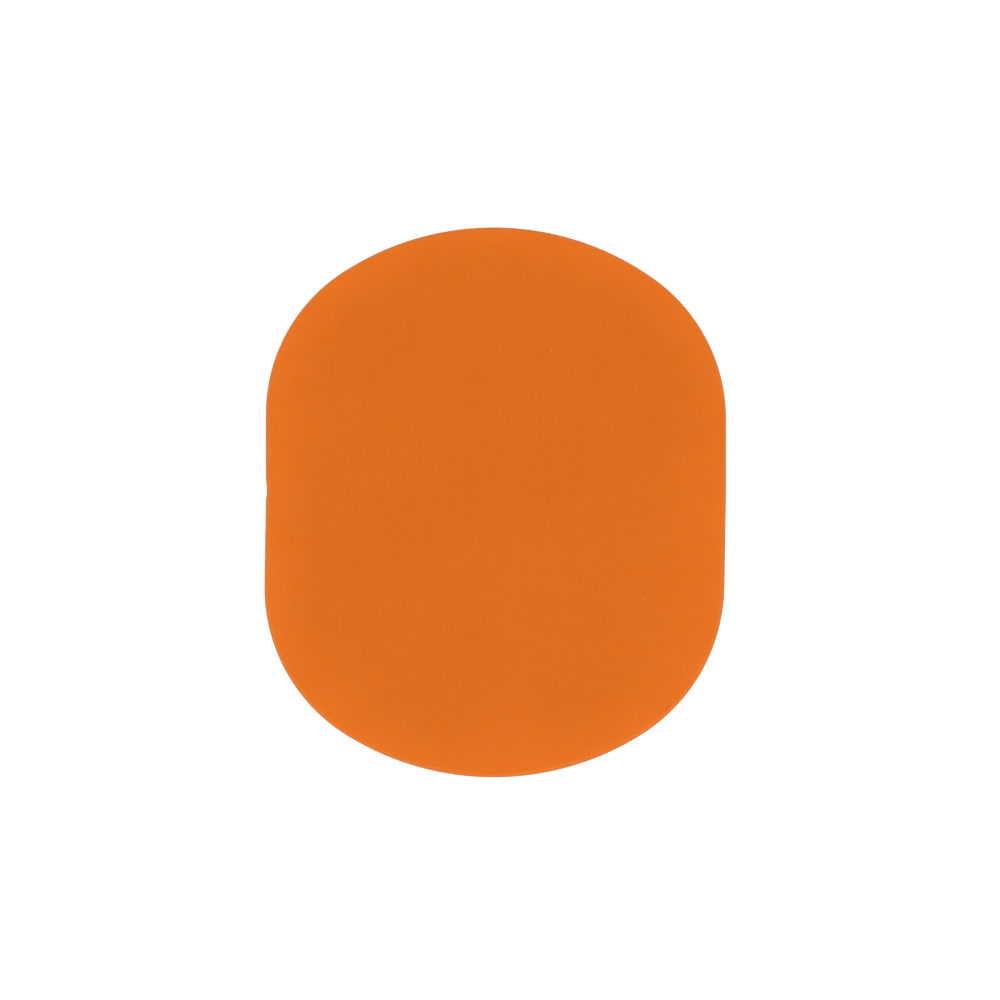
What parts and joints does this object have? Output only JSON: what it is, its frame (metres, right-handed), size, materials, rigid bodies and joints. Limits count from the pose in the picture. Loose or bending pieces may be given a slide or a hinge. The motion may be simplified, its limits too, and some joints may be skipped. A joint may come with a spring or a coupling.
{
  "type": "french curve",
  "caption": "Flat plastic drawing template with a closed, gently bulging rounded-oval edge, used as a guide for tracing smooth curves.",
  "frame": {"origin": "centre of the plate's outline, on its lower face", "axes": "+Z out of the upper face, +Y along the longer dimension, towards the end whose corners turn tighter; the side with the small cut step is on -X"},
  "size_m": [0.0498, 0.0594, 0.002],
  "materials": {
    "orange_plastic": "matte, even orange with a very fine grain"
  },
  "bodies": {
    "root": {"curve_plate": "orange_plastic"}
  },
  "joints": []
}
